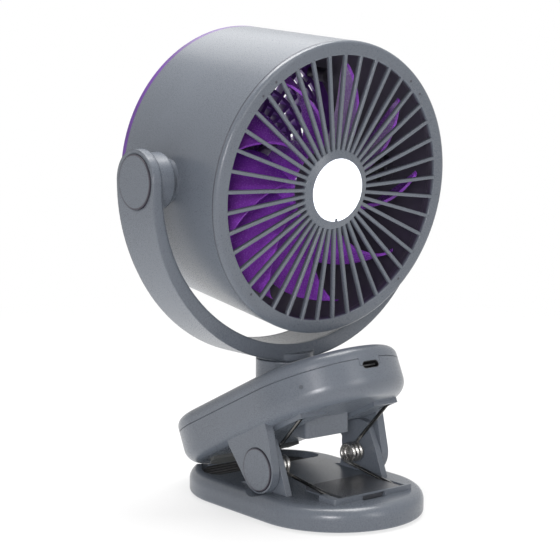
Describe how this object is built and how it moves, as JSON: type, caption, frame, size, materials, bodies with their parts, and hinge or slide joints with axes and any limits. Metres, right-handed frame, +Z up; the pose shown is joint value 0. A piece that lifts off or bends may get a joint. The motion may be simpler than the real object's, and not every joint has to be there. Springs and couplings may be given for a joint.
{
  "type": "clip fan",
  "caption": "Rechargeable clip-on fan: drum-shaped head with a radial grille and lamp, tilting in a U-shaped yoke that swivels on a sprung battery-case clamp.",
  "frame": {"origin": "on the table plane, straight below the head's tilt axis, midway between left and right", "axes": "+Z up, the fan head faces -Y at rest (7 degrees nose-down), the clamp's mouth is at +Y, X is the tilt axis and the clamp's hinge direction"},
  "size_m": [0.1618, 0.1324, 0.2152],
  "materials": {
    "body_plastic": "satin blue-grey moulded plastic",
    "purple_plastic": "purple moulded plastic",
    "pad_rubber": "dark grey ribbed rubber",
    "dark_plastic": "dark grey plastic",
    "spring_steel": "dark oil-tempered spring wire",
    "screw_steel": "zinc-plated steel",
    "socket_steel": "stamped steel shell",
    "board": "green lacquered board",
    "switch_plastic": "black plastic",
    "lens_plastic": "milk-white translucent plastic",
    "cell_wrap": "plain blue shrink wrap",
    "lead_jacket": "black jacket",
    "stem_plastic": "black low-friction plastic",
    "lamp_board": "white lacquered board",
    "led_chip": "yellow phosphor over a white body",
    "motor_steel": "zinc-plated drawn steel",
    "shaft_steel": "ground steel",
    "rotor_copper": "copper winding over steel"
  },
  "bodies": {
    "lower_jaw": {"lower_jaw": "body_plastic", "bottom_cover": "body_plastic", "base_screws": "screw_steel", "rubber_sole": "pad_rubber", "spring_cover": "dark_plastic", "lower_jaw_pad": "pad_rubber", "right_spring": "spring_steel", "left_spring": "spring_steel"},
    "upper_case": {"case_bottom": "body_plastic", "case_top": "body_plastic", "case_screws": "screw_steel", "upper_jaw_pad": "pad_rubber", "left_hinge_pin": "screw_steel", "right_hinge_pin": "screw_steel", "left_hinge_cap": "body_plastic", "right_hinge_cap": "body_plastic", "charging_socket": "socket_steel", "circuit_board": "board", "tact_switch": "switch_plastic", "indicator_light": "lens_plastic", "battery_cell": "cell_wrap"},
    "power_button": {"power_button": "body_plastic"},
    "yoke": {"yoke_frame": "body_plastic", "yoke_cover": "body_plastic", "yoke_lead": "lead_jacket", "swivel_stem": "stem_plastic", "swivel_washer": "screw_steel", "swivel_nut": "screw_steel", "left_pivot_cap": "body_plastic", "right_pivot_cap": "body_plastic"},
    "head": {"drum_housing": "body_plastic", "front_grille": "body_plastic", "light_lens": "lens_plastic", "led_board": "lamp_board", "led_chips": "led_chip", "rear_grille": "purple_plastic", "motor_cup": "purple_plastic", "rear_screws": "screw_steel", "motor_can": "motor_steel", "motor_screws": "screw_steel", "left_pivot_bolt": "screw_steel", "right_pivot_bolt": "screw_steel", "pivot_washers": "stem_plastic", "pivot_nuts": "screw_steel"},
    "impeller": {"impeller": "purple_plastic", "motor_shaft": "shaft_steel", "motor_rotor": "rotor_copper"}
  },
  "joints": [
    {"name": "clamp_hinge", "type": "hinge", "parent": "lower_jaw", "child": "upper_case", "pos_m": [0, -0.0255, 0.0213], "axis": [1, 0, 0], "range_deg": [0, 32], "stiffness_Nm_per_rad": 0.8, "springref_deg": -34.38, "deforming": ["right_spring", "left_spring"]},
    {"name": "yoke_swivel", "type": "hinge", "parent": "upper_case", "child": "yoke", "pos_m": [0, -0.0025, 0.0647], "axis": [0, 0, 1], "range_deg": [-180, 180]},
    {"name": "head_tilt", "type": "hinge", "parent": "yoke", "child": "head", "pos_m": [0, 0, 0.1482], "axis": [1, 0, 0], "range_deg": [-97, 83]},
    {"name": "impeller_spin", "type": "hinge", "parent": "head", "child": "impeller", "pos_m": [0, 0, 0.1482], "axis": [0, -0.9925, -0.1219], "continuous": true},
    {"name": "power_button_press", "type": "slide", "parent": "upper_case", "child": "power_button", "axis": [0, -0.4305, -0.9026], "range_m": [0, 0.0008], "stiffness_N_per_m": 1500, "springref_m": -0.0005}
  ]
}
